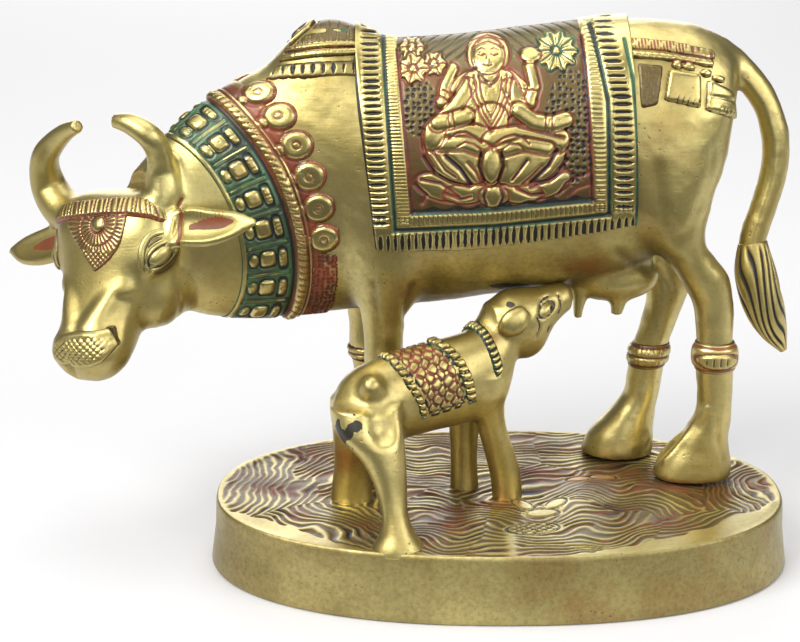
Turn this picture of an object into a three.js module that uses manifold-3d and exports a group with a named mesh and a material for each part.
// Cast brass cow suckling her calf on an oval ground.
// Millimetres, +Z up, the cow's head towards -X, her dressed near side towards -Y.
// The origin is the middle of the underside of the base.
import * as THREE from 'three';
import { mergeVertices } from 'three/addons/utils/BufferGeometryUtils.js';
import Module from 'manifold-3d';

const wasm = await Module();
wasm.setup();

// Driving dimensions
const BASE = {
  halfLength: 70, halfDepth: 41.8, height: 16.6, draft: 1.9, squareness: 2.25, foot: 0.8,
  lip: 1.6, shoulder: 1.5, edge: 2.3, sides: 44, terraces: [0.93, 0.7, 0.38],
  wave: { rise: 0.2, length: 5, drift: 7, sway: 2, width: 6 },
};
const GAP = 0.3;
const SOLE = BASE.height + GAP;
const NEAR = -1;
const FAR = 1;

// Stations of the cow's trunk and neck, from the rump to the nape:
// top x, top z, bottom x, bottom z, middle y, half width, turn to the near side in degrees, keel
const TRUNK = [
  [55.4, 118, 54.6, 106, 15, 5, 0, 0],
  [53, 123.4, 52, 94, 15, 11.4, 0, 0],
  [46, 127.4, 45.4, 81, 15, 15.6, 0, 0],
  [36, 128.9, 36, 71, 15, 17.8, 0, 0],
  [26, 128.9, 26, 66, 15, 19.2, 0, 0],
  [14, 127.6, 14, 64.3, 15, 20, 0, 0],
  [2, 126.2, 2, 62.6, 15, 20.3, 0, 0],
  [-10, 124.8, -10, 61, 15, 20, 0, 0],
  [-22, 124, -21, 59.6, 15, 19.2, 0, 0.05],
  [-33, 123.4, -29, 58.8, 15, 18.3, 4, 0.1],
  [-42, 122, -34, 58.4, 14.5, 17.5, 10, 0.15],
  [-50, 120, -38, 58.2, 14, 16.8, 16, 0.2],
  [-57.5, 117, -42.5, 58, 13, 15.8, 21, 0.25],
  [-65, 113, -48.5, 58, 11, 14.5, 27, 0.3],
  [-70, 109.6, -55.5, 58.2, 9, 13.3, 29, 0.3],
  [-75, 105.6, -62.5, 58.8, 7, 12.2, 31, 0.3],
  [-80, 100.6, -70, 60, 4.5, 11, 38, 0.3],
  [-84, 96, -77, 63, 1.5, 9.5, 45, 0.3],
];
const TRUNK_SIDES = 20;
const BLOB_FACES = { around: 12, down: 7 };
const BOSS_FACES = [7, 4];
const HUMP = { centre: [-40.4, 15, 115.6], radii: [12.2, 9.5, 13.2] };

// The head's own frame: forehead, turned to the near side, hanging and tilted, in degrees
const HEAD = { origin: [-94.8, -1.9, 92.2], turn: 53, droop: 66, tilt: -8 };
// Distance down the face, front and back of the section, half width
const FACE = [
  [-1.6, -7.4, -13, 7],
  [0.6, -3.8, -17, 12.4],
  [4, -1.8, -20, 15],
  [8.8, -1, -21.5, 16],
  [14, -1.6, -22, 15.2],
  [19, -2.2, -21.5, 12.9],
  [25, -2.4, -19.5, 10.4],
  [30, -1.6, -17, 9.2],
  [35, -0.4, -14.6, 9.6],
  [39, -1, -12.8, 8.8],
  [42, -3.4, -10.8, 6],
  [43.4, -5.8, -8.6, 2.8],
];
const JAW = { centre: [-80.6, -2, 66.4], radii: [5.2, 6.2, 6.9] };
const FACE_SIDES = 14;
const FACE_POWER = 2.6;
// Horns and ears by distance down the face, forward and to the near side
const HORN_SIDES = 7;
const HORNS = [
  {
    path: [[3.4, -10, 9], [-0.8, -9.4, 12.8], [-6.4, -7, 13.4], [-10.3, -3.5, 14.5], [-12.9, 0.2, 14.1],
      [-15, 2.4, 10.1], [-15.5, 3.2, 6]],
    radii: [4.6, 4.2, 3.3, 3, 2.9, 2.4, 1.6],
  },
  {
    path: [[5.4, -10, -14], [2.2, -9.4, -19], [-1.8, -8, -22], [-5.6, -5, -21.6], [-8.7, -2.5, -19.5],
      [-11.3, -1, -16], [-13.5, 1, -10.8], [-14.5, 2.5, -5.8]],
    radii: [4.8, 4.8, 4.4, 3.7, 3.2, 2.7, 2.1, 1.5],
  },
];
const EAR = {
  side: [10, 15, 21, 27, 33, 38.6], back: [9.5, 9.5, 10.2, 11, 12, 13],
  half: [3, 4.1, 4.8, 4.4, 3.2, 0.6], thickness: 0.4, sides: 8,
  hollow: { scale: 0.75, depth: 1.9 },
  nearDrop: [8, 7.4, 6.2, 6.1, 5.2, 4.1], farDrop: [9, 10.4, 11.4, 12.4, 13, 13], farReach: 0.965,
};
// Headband across the brow, the fan-shaped ornament below it, and the eyes
const HEADBAND = { from: 1.4, to: 5.8, lift: 0.7 };
const FAN = {
  outline: [[6, -5.6], [6, 5.6], [9.5, 6.4], [13.5, 4.6], [17, 2.2], [20, 0], [17, -2.2], [13.5, -4.6],
    [9.5, -6.4]],
  lift: 0.7, boss: [8.6, 2.6, 1.2],
};
const EYE = { down: 12.4, forward: -6.4, beside: 13.6, size: [2.9, 2, 1.7] };

// Legs: x, y, z, half length along the body, half width
const NEAR_HIND = [
  [38, 7, 108, 13, 8], [39, 6, 97, 12.6, 9.4], [39.2, 5, 87, 10.2, 8.6], [41.6, 5.5, 78, 6.9, 7],
  [44.9, 5.8, 73.5, 6.3, 5.8], [48.2, 6, 69, 6.2, 5.2], [51, 6.2, 62, 5, 4.4], [51.8, 6.2, 54, 4.6, 4],
  [52.2, 6.4, 46, 4.7, 4.2], [52.6, 6.6, 38, 4.4, 4.2], [52.1, 7, 32, 4.8, 4.8],
  [49.8, 7.6, 26.5, 7, 5.6], [48.3, 8, 21.5, 9.2, 6.6], [48, 8, SOLE + 0.9, 9.7, 7], [48, 8, SOLE, 9, 6.4],
];
const FAR_HIND = [
  [34, 23, 104, 13, 8], [34, 24, 93, 12, 8.6], [34.5, 24.6, 82, 10.5, 8], [38, 24.5, 73, 8.6, 6.6],
  [41.5, 24, 66, 6.6, 5.2], [42.2, 23.6, 60, 5.4, 4.4], [40.6, 23.6, 53, 4.6, 4], [38.6, 23.6, 46, 4.5, 4],
  [37.4, 23.6, 38.5, 4.5, 4.2], [36.6, 23.6, 33, 4.6, 4.6], [34.4, 23.8, 28, 6, 5.4],
  [32, 24, 22.5, 8.2, 6.4], [31, 24, SOLE + 0.9, 9.2, 6.8], [31, 24, SOLE, 8.6, 6.2],
];
const NEAR_FORE = [
  [-27, 7, 100, 10, 7], [-26, 6, 84, 10.5, 8], [-26.5, 5.6, 72, 9, 7], [-27.5, 5.4, 62, 6.2, 5.2],
  [-28, 5.4, 54, 4.8, 4.4], [-27.8, 5.6, 46, 4.8, 4.6], [-27.2, 6, 38, 4, 3.9], [-27.4, 7, 31, 4.2, 4.2],
  [-28.4, 8.4, 26, 5.2, 4.8], [-29.6, 9.2, 21.5, 6.4, 5.6], [-30, 9.4, SOLE, 6.6, 5.6],
];
const FAR_FORE = [
  [-32, 23, 100, 10, 7], [-32, 24, 84, 10.5, 8], [-32.4, 24, 72, 8.4, 6.6], [-32.8, 23.8, 62, 5.8, 5],
  [-32.4, 23.6, 54, 4.6, 4.2], [-32, 23.6, 46, 4.8, 4.6], [-31.8, 23.6, 38, 4, 3.9],
  [-32.2, 23.8, 31, 4.2, 4.2], [-33, 24, 26, 5.2, 4.8], [-33.6, 24, 21.5, 6.4, 5.6],
  [-33.6, 24, SOLE, 6.6, 5.6],
];
const LEG_SIDES = 8;

// Anklets: middle x, y, z, half length, half width, half height, and how far their edges fall back
const ANKLETS = [
  [52, 6.3, 49, 5.9, 5.3, 3.7],
  [39.4, 23.6, 43.6, 5.6, 5.2, 3.1],
  [-27.8, 5.6, 44.5, 5.5, 5.2, 2.1],
  [-32, 23.6, 44.5, 5.5, 5.2, 2.1],
];
const ANKLET_EDGE = 1.2;

// Udder and teats: top and tip
const UDDER = { centre: [27.5, 14, 66.5], radii: [11.5, 7.5, 6] };
const TEATS = [
  [[19.5, 10.5, 64], [18.9, 10, 57], 2], [[29, 10.5, 64], [28.4, 10, 58], 2.4],
  [[21, 17.5, 64], [20.6, 18, 58.6], 1.9], [[30, 17.5, 64], [30.2, 18, 58.6], 1.9],
];
const TEAT = { taper: 0.6, sides: 6 };
// Tail and its tuft
const TAIL = {
  path: [[45, 15, 121.5], [52.4, 15, 120.2], [58.3, 14.6, 115], [62.3, 14, 109.5], [64.4, 13.8, 104],
    [65.4, 13.4, 98.3], [64.8, 12.8, 91.6], [62.8, 12, 84.5], [60.8, 11, 77.5], [60.3, 10.5, 72.5]],
  radii: [3.8, 3.6, 3.4, 3.3, 3.4, 3.4, 3.3, 3.3, 3.4, 3.4],
};
const TUFT = {
  path: [[60.5, 10.4, 73], [61.6, 9.6, 66.6], [63.8, 9, 60.4], [66.4, 8.6, 54.4], [69.2, 8.4, 49]],
  radii: [2.8, 4.9, 4.8, 3.4, 0.8],
};
const TAIL_SIDES = 8;

// Raised cloths: length along the trunk, girth angles from the near hem over the back to the far hem
const GIRTH = { y: 15, z: 96 };
const CLOTH = {
  leftTop: -33.4, leftHem: -29.2, rightTop: 29.6, rightHem: 31.4, near: -27, far: 207,
  side: 0.15, hem: 0.07, step: 0.008, rows: 10, columns: 4, lift: 0.8, frame: 0.7,
};
const HUMP_BAND = { left: -56, right: -33.8, near: 58, far: 122, rows: 6, columns: 4, lift: 0.8 };
const RUMP_BAND = { left: 31, right: 46.5, near: 66, far: 114, rows: 5, columns: 2, lift: 0.9 };
const TASSELS = [[37.6, 45.2, 44, 65], [46.2, 51, 36, 56]];
const TASSEL = { rows: 2, columns: 1, lift: 1.6 };
const SINK = 3;

// Collars round the neck: trunk stations, lifts, and counts round the whole neck
const COLLAR = {
  from: 15.1, to: 12.8, steps: 5, lift: 0.8, rows: [14.8, 14.1, 13.45], depth: 0.35, studs: 15, rise: 1.6,
};
const ROPE = { from: 13, to: 12.75, steps: 1, lift: 1.9 };
const MEDALLION = {
  at: 12.1, radius: 3.5, height: 1.2, count: 14, sides: 6, pip: [1.2, 1.2, 0.6], pipFaces: [4, 2],
};

// The seated goddess on the near panel: places by length and height on the hide, sizes of her parts
const LAP = { x: -2.6, z: 103.4 };
const FIGURE = {
  bosses: [
    [0, 18.4, 3.6, 4.2, 2.6], [0, 21.4, 3, 2, 2], [0, 10, 4.4, 6.6, 2.4], [0, 5, 3.2, 4, 2.6],
    [-8, 0.6, 7.8, 3, 2.2], [8, 0.6, 7.8, 3, 2.2], [-15, 17.6, 3.6, 3.6, 1.8], [15, 19.8, 3.6, 3.6, 1.8],
  ],
  limbs: [
    [[-4, 13.6], [-9.6, 11.4], [-10.6, 16.6]], [[4, 13.6], [9.6, 11.4], [10.4, 16.8]],
    [[-4, 12.6], [-11, 7.4], [-6, 5]], [[4, 12.6], [11, 7.6], [15.4, 6]],
  ],
  limbRadius: 1.3, limbSides: 6,
  petals: 7, petalReach: [11.2, 5.2], petalSpread: 150, petal: [3.4, 5.4, 1.8], petalDrop: 3.4,
};
const ROSETTE = { x: -2, z: 106, petals: 6, reach: 6.6, petal: [2.6, 4.8, 1.6], heart: [3, 3, 2] };

// Calf: the same stations as for the cow's trunk, then the neck, head, ears and legs
const CALF_TRUNK = [
  [-38.2, 46.6, -37.4, 38, -21.6, 3.4, 30, 0],
  [-36.4, 51, -35.6, 34.4, -20.4, 6.8, 30, 0],
  [-32.4, 54.2, -32, 34.2, -18.4, 8.6, 30, 0],
  [-26, 55.8, -25.5, 35.4, -14.8, 8, 30, 0],
  [-18, 57, -17.5, 36, -10.4, 7.8, 30, 0],
  [-10, 58, -9.5, 36.4, -6, 7.8, 30, 0],
  [-4.6, 58.4, -3.8, 38.4, -2.6, 7, 30, 0],
  [-1.2, 56.6, -0.6, 41, -0.4, 5.2, 30, 0],
  [0.8, 53, 1, 45, 0.8, 2.4, 30, 0],
];
const CALF_NECK = [
  [-5.4, -3, 44, 6.6, 6.4], [-3.8, -1.6, 50, 7, 6.2], [-1.8, -0.2, 55, 7, 5.8], [-0.2, 0.8, 59, 6.2, 5.2],
  [0.8, 1.4, 63, 4.6, 4],
];
const CALF_FACE = {
  path: [[-2.6, -0.4, 60], [1, 1.2, 60], [5, 2.8, 60.4], [9, 4.2, 61.4], [13, 5.6, 63], [15.8, 6.4, 64]],
  radii: [4, 6.4, 6.6, 5.6, 4.1, 3], sides: 9,
};
const CALF_JAW = { centre: [5.4, 2.4, 57], radii: [6.2, 5.4, 7.4] };
const CALF_EAR = {
  path: [[5.4, -4, 63.6], [3.6, -5.2, 61.8], [1.6, -5.6, 59.8], [0.4, -5.2, 58]],
  radii: [1.6, 3, 2.9, 1.3], flat: 0.5, sides: 7,
};
const CALF_LEGS = [
  [[-32, -24, 47, 8, 5.6], [-30.6, -26.6, 41, 7.4, 5.4], [-27.6, -28.6, 35, 5, 4.2],
    [-26, -30.2, 29, 3.6, 3.4], [-25.2, -32, 24, 3, 3], [-24.6, -33.2, 20, 3.8, 3.5],
    [-24.4, -33.8, 17.2, 5.6, 4.4], [-24.4, -34, 15, 6.6, 4.8]],
  [[-34.4, -16, 46, 5.4, 5], [-35, -12.6, 39, 5, 5], [-35.4, -9.6, 32, 4.4, 4.2],
    [-35.4, -7.4, 26, 4.4, 3.8], [-35.6, -6, 20, 4.8, 3.6], [-35.6, -5.4, 15, 5.2, 3.8]],
  [[-4.6, -6, 48, 5, 4], [-3.6, -6, 42, 4.2, 3.8], [-2.2, -5.2, 35, 3.5, 3.2], [-0.2, -4.4, 28, 3.6, 3],
    [1.4, -3.8, 21.5, 3.7, 3], [2, -3.4, 15, 3.6, 3.1]],
  [[-7.6, 1.6, 47, 5, 4], [-8, 2.4, 40, 4.6, 3.8], [-8.4, 2.8, 33, 3.8, 3.3], [-8.5, 2.8, 26, 3.3, 3],
    [-8.4, 2.8, 20, 3.3, 3], [-8.2, 2.8, 15, 3.6, 3.2]],
];
const CALF_LEG_SIDES = 7;
const CALF_SIDES = 10;
const CALF_CLOTH = { from: 2.6, to: 5, steps: 3, lift: 0.7 };
const CALF_COLLAR = { low: 0.9, high: 2.1, lift: 0.8 };

const radians = THREE.MathUtils.degToRad;
const vector = (x, y, z) => new THREE.Vector3(x, y, z);

// Catmull-Rom curve through the stations, column by column
function refine(stations, steps) {
  const last = stations.length - 1;
  const at = (index, column) => stations[Math.min(Math.max(index, 0), last)][column];
  const blend = (index, t, column) => {
    const [a, b, c, d] = [-1, 0, 1, 2].map((shift) => at(index + shift, column));
    const slope = (c - a) / 2;
    const exit = (d - b) / 2;
    const cubic = 2 * (b - c) + slope + exit;
    return b + t * (slope + t * (c - b - slope - cubic + t * cubic));
  };
  return Array.from({ length: last * steps + 1 }, (_, row) => {
    const index = Math.min(Math.floor(row / steps), last - 1);
    const t = row / steps - index;
    return stations[0].map((_value, column) => blend(index, t, column));
  });
}

// A sine or cosine made boxier by a power above two
const squared = (value, power) => Math.sign(value) * Math.abs(value) ** (2 / power);

// One ring about a centre, spanned by two half axes; a keel narrows its lower half
function ring(centre, across, upward, sides, keel = 0, power = 2) {
  return Array.from({ length: sides }, (_, index) => {
    const angle = (2 * Math.PI * index) / sides;
    const narrowing = 1 - (keel * (1 - Math.sin(angle))) / 2;
    return centre.clone()
      .addScaledVector(across, squared(Math.cos(angle), power) * narrowing)
      .addScaledVector(upward, squared(Math.sin(angle), power));
  });
}

// Signed volume of an indexed mesh, negative when its faces point inwards
function volume(positions, index) {
  const corner = (n) => vector(...positions.slice(3 * index[n], 3 * index[n] + 3));
  let sum = 0;
  for (let n = 0; n < index.length; n += 3) {
    sum += corner(n).dot(corner(n + 1).cross(corner(n + 2)));
  }
  return sum;
}

// A solid from points and triangles, turned the right way out
function solidFrom(points, index) {
  const positions = points.flatMap((point) => point.toArray());
  const outward = volume(positions, index) > 0 ? index : index.slice().reverse();
  return new wasm.Manifold(new wasm.Mesh({
    numProp: 3,
    vertProperties: Float32Array.from(positions),
    triVerts: Uint32Array.from(outward),
  }));
}

// A solid skinned over rings, with both ends closed by a fan
function skin(rings) {
  const sides = rings[0].length;
  const middle = (loop) => loop
    .reduce((sum, point) => sum.add(point), vector(0, 0, 0))
    .divideScalar(sides);
  const points = [...rings.flat(), middle(rings[0]), middle(rings[rings.length - 1])];
  const [first, last] = [points.length - 2, points.length - 1];
  const index = [];
  for (let row = 0; row < rings.length; row += 1) {
    for (let side = 0; side < sides; side += 1) {
      const a = row * sides + side;
      const b = row * sides + ((side + 1) % sides);
      if (row === 0) {
        index.push(first, b, a);
      }
      if (row === rings.length - 1) {
        index.push(last, a, b);
      } else {
        index.push(a, b, a + sides, b, b + sides, a + sides);
      }
    }
  }
  return solidFrom(points, index);
}

// A ready-made geometry as a solid
function solid(geometry) {
  geometry.deleteAttribute('normal');
  geometry.deleteAttribute('uv');
  const merged = mergeVertices(geometry);
  return new wasm.Manifold(new wasm.Mesh({
    numProp: 3,
    vertProperties: merged.attributes.position.array,
    triVerts: Uint32Array.from(merged.index.array),
  }));
}

const join = (pieces) => pieces.reduce((whole, piece) => whole.add(piece));

// A rounded boss with half axes along and across, standing on a point along its normal
function boss(point, normal, [halfWidth, halfHeight, halfDepth], [around, down] = BOSS_FACES) {
  const facing = new THREE.Matrix4().lookAt(vector(0, 0, 0), normal.clone().negate(), vector(0, 0, 1));
  const geometry = new THREE.SphereGeometry(1, around, down);
  geometry.scale(halfWidth, halfHeight, halfDepth);
  geometry.applyMatrix4(facing);
  geometry.translate(point.x, point.y, point.z);
  return solid(geometry);
}

// A round bar along a smooth path, with its own radius at each point and flattened by a factor
function bar(path, radii, sides, flat = 1) {
  const curve = new THREE.CatmullRomCurve3(path.map((point) => vector(...point)));
  const count = radii.length - 1;
  const frames = curve.computeFrenetFrames(count);
  return skin(radii.map((radius, row) => ring(
    curve.getPoint(row / count),
    frames.normals[row].clone().multiplyScalar(radius),
    frames.binormals[row].clone().multiplyScalar(radius * flat),
    sides,
  )));
}

// An upright limb: level rings
const limb = (stations, sides) => skin(stations.map(([x, y, z, along, across]) => (
  ring(vector(x, y, z), vector(along, 0, 0), vector(0, across, 0), sides))));

// The ring of a trunk at a station, grown outwards by a lift
function trunkRing([xTop, zTop, xBottom, zBottom, y, half, turn, keel], sides, lift = 0) {
  const top = vector(xTop, y, zTop);
  const bottom = vector(xBottom, y, zBottom);
  const centre = top.clone().add(bottom).divideScalar(2);
  const upward = top.sub(centre);
  upward.setLength(upward.length() + lift);
  const across = vector(Math.sin(radians(turn)), -Math.cos(radians(turn)), 0).multiplyScalar(half + lift);
  return ring(centre, across, upward, sides, keel);
}

const blob = ({ centre, radii }) => {
  const geometry = new THREE.SphereGeometry(1, BLOB_FACES.around, BLOB_FACES.down);
  geometry.scale(...radii);
  geometry.translate(...centre);
  return solid(geometry);
};

const trunk = skin(TRUNK.map((row) => trunkRing(row, TRUNK_SIDES)))
  .add(blob(HUMP));

const STATION_STEPS = 20;
// The row of a trunk's stations at a fractional place
const stationOf = (stations) => {
  const rows = refine(stations, STATION_STEPS);
  return (station) => rows[Math.round(station * STATION_STEPS)];
};
const neckAt = stationOf(TRUNK);
const neckRing = (station, lift, sides) => trunkRing(neckAt(station), sides, lift);

function geometryOf(body) {
  const mesh = body.getMesh();
  const geometry = new THREE.BufferGeometry();
  geometry.setAttribute('position', new THREE.BufferAttribute(mesh.vertProperties, 3));
  geometry.setIndex(new THREE.BufferAttribute(mesh.triVerts, 1));
  geometry.computeVertexNormals();
  return geometry;
}

// A ray from inside the trunk finds its hide, at a length and a girth angle or a height
const hide = new THREE.Mesh(geometryOf(trunk), new THREE.MeshBasicMaterial({ side: THREE.DoubleSide }));
const pointer = new THREE.Raycaster();
function hideFrom(x, z, direction) {
  pointer.set(vector(x, GIRTH.y, z), direction);
  return pointer.intersectObject(hide).pop().point;
}
const onHide = (x, z, side) => hideFrom(x, z, vector(0, side, 0));

// A closed slab between an outer and an inner grid of points
function slab(outer, inner, rows, columns) {
  const width = columns + 1;
  const shift = outer.length;
  const index = [];
  const quad = (a, b, c, d) => index.push(a, b, c, a, c, d);
  for (let row = 0; row < rows; row += 1) {
    for (let column = 0; column < columns; column += 1) {
      const a = row * width + column;
      quad(a, a + 1, a + width + 1, a + width);
      quad(a + shift, a + width + shift, a + width + 1 + shift, a + 1 + shift);
    }
  }
  for (let column = 0; column < columns; column += 1) {
    const end = rows * width + column;
    quad(column, column + shift, column + 1 + shift, column + 1);
    quad(end, end + 1, end + 1 + shift, end + shift);
  }
  for (let row = 0; row < rows; row += 1) {
    const a = row * width;
    const b = a + columns;
    quad(a, a + width, a + width + shift, a + shift);
    quad(b, b + shift, b + width + shift, b + width);
  }
  return solidFrom([...outer, ...inner], index);
}

// Even steps from 0 to 1
const even = (count) => Array.from({ length: count + 1 }, (_, index) => index / count);
// The same with a narrow step inside each end, where a frame falls to its panel
const framed = (count, edge, step) => {
  const inner = even(count).map((t) => THREE.MathUtils.lerp(edge + step, 1 - edge - step, t));
  return [0, edge, ...inner, 1 - edge, 1];
};

// A cloth laid over the trunk on a grid of girths and lengths
function cover({ near, far }, girths, lengths, ends, thickness) {
  const outer = [];
  const inner = [];
  girths.forEach((girth) => {
    const angle = radians(THREE.MathUtils.lerp(near, far, girth));
    const direction = vector(0, -Math.cos(angle), Math.sin(angle));
    const [left, right] = ends(angle);
    lengths.forEach((length) => {
      const point = hideFrom(THREE.MathUtils.lerp(left, right, length), GIRTH.z, direction);
      outer.push(point.clone().addScaledVector(direction, thickness(girth, length)));
      inner.push(point.clone().addScaledVector(direction, -SINK));
    });
  });
  return slab(outer, inner, girths.length - 1, lengths.length - 1);
}

// The saddle cloth, its ends slanting towards the hems, with a raised frame round its field
function saddleCloth() {
  const { leftTop, leftHem, rightTop, rightHem, near, side, hem, step, rows, columns, lift, frame } = CLOTH;
  const ends = (angle) => {
    const fall = (1 - Math.sin(angle)) / (1 - Math.sin(radians(near)));
    return [THREE.MathUtils.lerp(leftTop, leftHem, fall), THREE.MathUtils.lerp(rightTop, rightHem, fall)];
  };
  const within = (t, edge) => Math.min(t, 1 - t) > edge + step / 2;
  const thickness = (girth, length) => (within(girth, hem) && within(length, side) ? lift : lift + frame);
  return cover(CLOTH, framed(rows, hem, step), framed(columns, side, step), ends, thickness);
}

// A plain strip of even thickness
const strip = (size) => cover(
  size, even(size.rows), even(size.columns), () => [size.left, size.right], () => size.lift,
);

// Tassels hang from the rump band on both sides
const tassels = () => TASSELS.flatMap(([left, right, low, high]) => [
  strip({ ...TASSEL, left, right, near: low, far: high }),
  strip({ ...TASSEL, left, right, near: 180 - high, far: 180 - low }),
]);

// A sleeve thickens a trunk between two of its stations
const sleeve = ({ from, to, steps, lift }, rowsOf, sides) => skin(
  even(steps).map((t) => trunkRing(rowsOf(THREE.MathUtils.lerp(from, to, t)), sides, lift)),
);

// A ring of blocks: every second corner of the sleeve stands out
function blocks(station) {
  const raised = [0, COLLAR.rise, 0].map((rise, row) => {
    const at = station - (COLLAR.depth * row) / 2;
    const low = neckRing(at, COLLAR.lift / 2, COLLAR.studs * 2);
    const high = neckRing(at, COLLAR.lift / 2 + rise, COLLAR.studs * 2);
    return low.map((point, index) => (index % 2 ? point : high[index]));
  });
  return skin(raised);
}

// Places round a neck ring with their outward directions
function around(station, count) {
  const points = neckRing(station, 0, count);
  const centre = points.reduce((sum, point) => sum.add(point), vector(0, 0, 0)).divideScalar(count);
  return points.map((point) => ({ point, normal: point.clone().sub(centre).normalize() }));
}

// Medallions with a pip, below the rope
const medallions = () => around(MEDALLION.at, MEDALLION.count).flatMap(({ point, normal }) => {
  const { radius, height, sides, pip, pipFaces } = MEDALLION;
  const disc = new THREE.CylinderGeometry(radius, radius, 2 * height, sides);
  disc.applyQuaternion(new THREE.Quaternion().setFromUnitVectors(vector(0, 1, 0), normal));
  disc.translate(point.x, point.y, point.z);
  const top = point.clone().addScaledVector(normal, height);
  return [solid(disc), boss(top, normal, pip, pipFaces)];
});

// The seated goddess with four arms, flowers in her raised hands, on a lotus
function goddess() {
  const out = vector(0, NEAR, 0);
  const at = (x, z) => onHide(LAP.x + x, LAP.z + z, NEAR).addScaledVector(out, CLOTH.lift);
  const bosses = FIGURE.bosses.map(([x, z, ...size]) => boss(at(x, z), out, size));
  const limbs = FIGURE.limbs.map((path) => bar(
    path.map(([x, z]) => at(x, z).addScaledVector(out, FIGURE.limbRadius / 2).toArray()),
    path.map(() => FIGURE.limbRadius),
    FIGURE.limbSides,
  ));
  const [reachAlong, reachDown] = FIGURE.petalReach;
  const petals = even(FIGURE.petals - 1).map((share) => {
    const swing = radians((share - 0.5) * FIGURE.petalSpread);
    const x = Math.sin(swing) * reachAlong;
    const z = -FIGURE.petalDrop - Math.cos(swing) * reachDown;
    return boss(at(x, z), out, FIGURE.petal);
  });
  return [...bosses, ...limbs, ...petals];
}

// A plain rosette on the far panel
function rosette() {
  const out = vector(0, FAR, 0);
  const at = (x, z) => onHide(x, z, FAR).addScaledVector(out, CLOTH.lift);
  const petals = Array.from({ length: ROSETTE.petals }, (_, index) => {
    const angle = (2 * Math.PI * index) / ROSETTE.petals;
    const x = ROSETTE.x + Math.cos(angle) * ROSETTE.reach;
    const z = ROSETTE.z + Math.sin(angle) * ROSETTE.reach;
    return boss(at(x, z), out, ROSETTE.petal);
  });
  return [boss(at(ROSETTE.x, ROSETTE.z), out, ROSETTE.heart), ...petals];
}

// Head frame: three axes down the face, forward and to the near side
const headAxes = (() => {
  const [turn, droop, tilt] = [HEAD.turn, HEAD.droop, HEAD.tilt].map(radians);
  const ahead = vector(-Math.cos(turn), -Math.sin(turn), 0);
  const down = ahead.clone().multiplyScalar(Math.cos(droop)).add(vector(0, 0, -Math.sin(droop)));
  const forward = ahead.clone().multiplyScalar(Math.sin(droop)).add(vector(0, 0, Math.cos(droop)));
  const beside = vector(Math.sin(turn), -Math.cos(turn), 0);
  down.applyAxisAngle(forward, -tilt);
  beside.applyAxisAngle(forward, -tilt);
  return { down, forward, beside };
})();
const headOrigin = vector(...HEAD.origin);
const onHead = (down, forward, beside) => headOrigin.clone()
  .addScaledVector(headAxes.down, down)
  .addScaledVector(headAxes.forward, forward)
  .addScaledVector(headAxes.beside, beside);

// A section of the face, grown outwards by a lift
const faceRing = ([down, front, back, half], sides, lift = 0) => ring(
  onHead(down, (front + back) / 2, 0),
  headAxes.beside.clone().multiplyScalar(half + lift),
  headAxes.forward.clone().multiplyScalar((front - back) / 2 + lift),
  sides, 0, FACE_POWER,
);

const horn = ({ path, radii }) => bar(
  path.map((place) => onHead(...place).toArray()), radii, HORN_SIDES,
);

// The headband follows the face between two distances from the poll
const faceAt = (down) => {
  const next = FACE.findIndex(([distance]) => distance > down);
  const [a, b] = [FACE[next - 1], FACE[next]];
  return a.map((value, column) => THREE.MathUtils.lerp(value, b[column], (down - a[0]) / (b[0] - a[0])));
};
const headband = () => skin([HEADBAND.from, HEADBAND.to]
  .map((down) => faceRing(faceAt(down), FACE_SIDES, HEADBAND.lift)));

// A flat fan with a boss, hanging from the headband on the forehead
function fan() {
  const front = (down) => faceAt(down)[1];
  const loop = (lift) => FAN.outline.map(([down, beside]) => onHead(down, front(down) + lift, beside));
  const [down, radius, rise] = FAN.boss;
  return [
    skin([loop(-SINK), loop(FAN.lift)]),
    boss(onHead(down, front(down) + FAN.lift, 0), headAxes.forward, [radius, radius, rise]),
  ];
}

const eyes = () => [NEAR, FAR].map((side) => boss(
  onHead(EYE.down, EYE.forward, -side * EYE.beside),
  headAxes.beside.clone().multiplyScalar(-side).add(headAxes.forward).normalize(),
  EYE.size,
));

// A leaf-shaped ear, hollowed towards the front
function ear(side, drop, reach) {
  const rings = (scale, shift) => EAR.side.map((beside, row) => ring(
    onHead(drop[row], shift - EAR.back[row], -side * reach * beside),
    headAxes.down.clone().multiplyScalar(EAR.half[row] * scale),
    headAxes.forward.clone().multiplyScalar(EAR.half[row] * EAR.thickness * scale),
    EAR.sides,
  ));
  const hollow = skin(rings(EAR.hollow.scale, EAR.hollow.depth).slice(1));
  return skin(rings(1, 0)).subtract(hollow);
}

const teat = ([top, tip, radius]) => bar([top, tip], [radius, radius * TEAT.taper], TEAT.sides);

// Anklets: low swollen rings on the shins
const anklet = ([x, y, z, along, across, half]) => limb([-1, -0.5, 0.5, 1].map((level) => {
  const inset = Math.abs(level) === 1 ? ANKLET_EDGE : 0;
  return [x, y, z + level * half, along - inset, across - inset];
}), LEG_SIDES);

const cow = join([
  trunk,
  saddleCloth(), strip(HUMP_BAND), strip(RUMP_BAND), ...tassels(),
  sleeve(COLLAR, neckAt, TRUNK_SIDES), sleeve(ROPE, neckAt, TRUNK_SIDES),
  ...COLLAR.rows.map(blocks), ...medallions(),
  ...goddess(), ...rosette(),
  skin(FACE.map((row) => faceRing(row, FACE_SIDES))), blob(JAW), headband(), ...fan(), ...eyes(),
  ...HORNS.map(horn), ear(NEAR, EAR.nearDrop, 1), ear(FAR, EAR.farDrop, EAR.farReach),
  ...[NEAR_HIND, FAR_HIND, NEAR_FORE, FAR_FORE].map((stations) => limb(stations, LEG_SIDES)),
  ...ANKLETS.map(anklet),
  blob(UDDER), ...TEATS.map(teat),
  bar(TAIL.path, TAIL.radii, TAIL_SIDES), bar(TUFT.path, TUFT.radii, TAIL_SIDES),
]);

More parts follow.
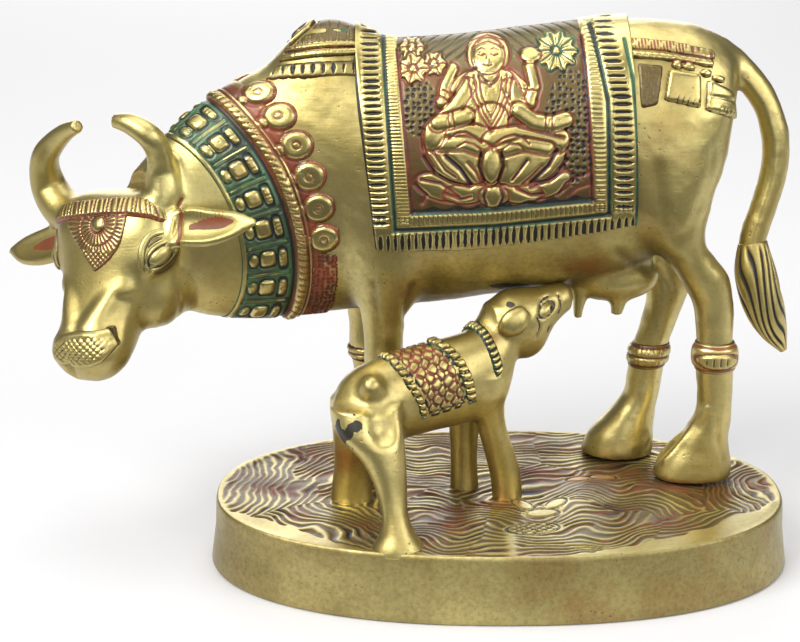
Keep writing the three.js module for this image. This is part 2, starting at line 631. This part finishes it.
// The oval base: its side leans in, its edge is rounded and its ground is waved
function ground(x, y) {
  const { rise, length, drift, sway, width } = BASE.wave;
  return BASE.height + rise * Math.sin(x / length + Math.sin(y / drift) * sway) * Math.cos(y / width);
}
function baseRing(scale, inset, height) {
  const [along, across] = [BASE.halfLength - inset, BASE.halfDepth - inset];
  return Array.from({ length: BASE.sides }, (_, index) => {
    const angle = (2 * Math.PI * index) / BASE.sides;
    const x = squared(Math.cos(angle), BASE.squareness) * along * scale;
    const y = squared(Math.sin(angle), BASE.squareness) * across * scale;
    return vector(x, y, height ?? ground(x, y));
  });
}
const base = skin([
  baseRing(1, BASE.foot, 0), baseRing(1, 0, BASE.foot),
  baseRing(1, BASE.shoulder, BASE.height - BASE.lip), baseRing(1, BASE.edge, BASE.height - BASE.lip / 4),
  ...BASE.terraces.map((scale) => baseRing(scale, BASE.draft)),
]);

// The calf reaches up to the udder; cloth round its middle and a collar below its head
const calfAt = stationOf(CALF_TRUNK);
const calfCollar = () => {
  const rows = refine(CALF_NECK, STATION_STEPS);
  const grown = [CALF_COLLAR.low, CALF_COLLAR.high].map((station) => {
    const [x, y, z, along, across] = rows[Math.round(station * STATION_STEPS)];
    return [x, y, z, along + CALF_COLLAR.lift, across + CALF_COLLAR.lift];
  });
  return limb(grown, CALF_SIDES);
};
const calf = join([
  skin(CALF_TRUNK.map((row) => trunkRing(row, CALF_SIDES))),
  sleeve(CALF_CLOTH, calfAt, CALF_SIDES),
  limb(CALF_NECK, CALF_SIDES), calfCollar(),
  bar(CALF_FACE.path, CALF_FACE.radii, CALF_FACE.sides), blob(CALF_JAW),
  bar(CALF_EAR.path, CALF_EAR.radii, CALF_EAR.sides, CALF_EAR.flat),
  ...CALF_LEGS.map((stations) => limb(stations, CALF_LEG_SIDES)),
]);

// Pale greenish gold brass
const BRASS = { color: 0xbeaa5a, roughness: 0.38, metalness: 1 };
const group = new THREE.Group();
Object.entries({ cow, calf_and_base: base.add(calf) }).forEach(([name, body]) => {
  const mesh = new THREE.Mesh(geometryOf(body), new THREE.MeshStandardMaterial(BRASS));
  mesh.name = name;
  group.add(mesh);
});

export default group;
